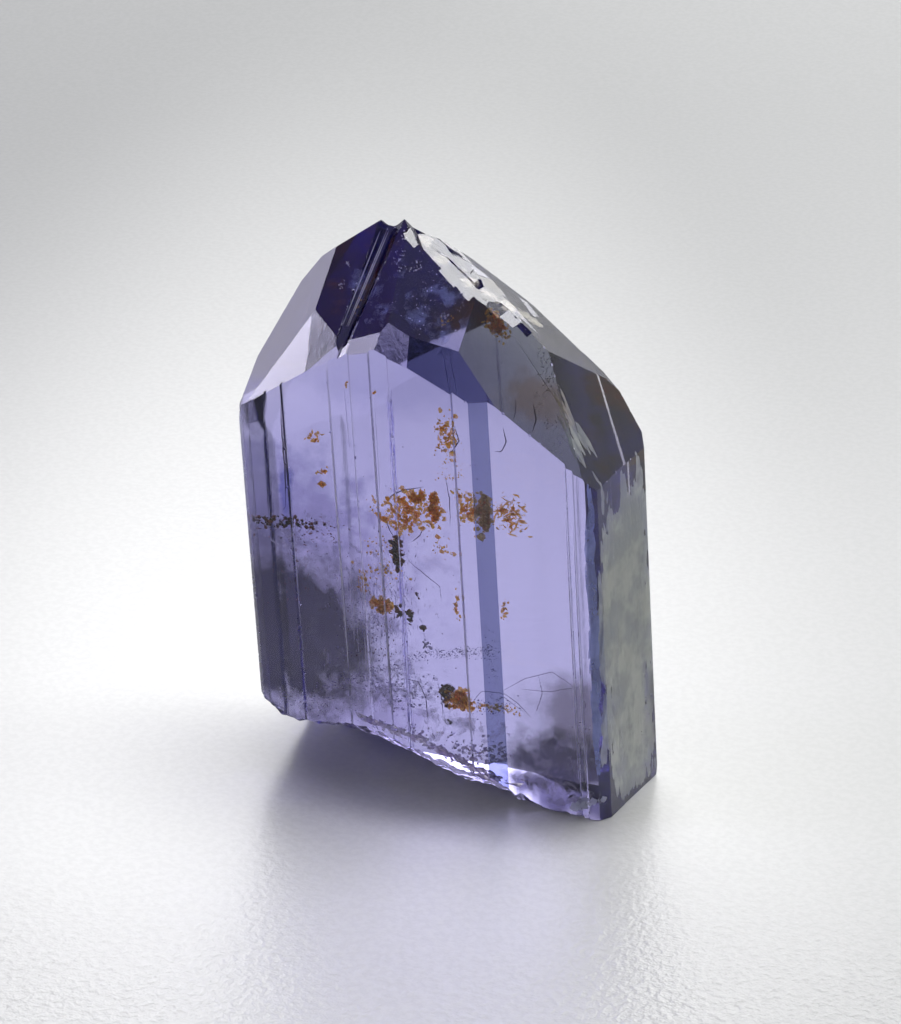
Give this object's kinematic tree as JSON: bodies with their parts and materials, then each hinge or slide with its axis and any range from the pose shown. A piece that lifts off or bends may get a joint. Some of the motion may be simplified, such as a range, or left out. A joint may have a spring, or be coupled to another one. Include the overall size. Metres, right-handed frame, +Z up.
{
  "type": "rough tanzanite crystal",
  "caption": "Flattened, terminated rough tanzanite crystal with a striated broad face, a roof of flat crystal faces and a broken base, standing on a small flat rest.",
  "frame": {"origin": "centre of the bounding box in plan, at the level of the flat rest under the break", "axes": "+Z up along the prism to the summit; -Y out of the broad lilac face; +X towards the narrow right-hand side face"},
  "size_m": [0.0168, 0.006, 0.023],
  "materials": {
    "tanzanite": "clear violet-blue crystal, glossy striated faces, matt splintered break, rust-brown specks inside"
  },
  "bodies": {
    "root": {"tanzanite_crystal": "tanzanite"}
  },
  "joints": []
}
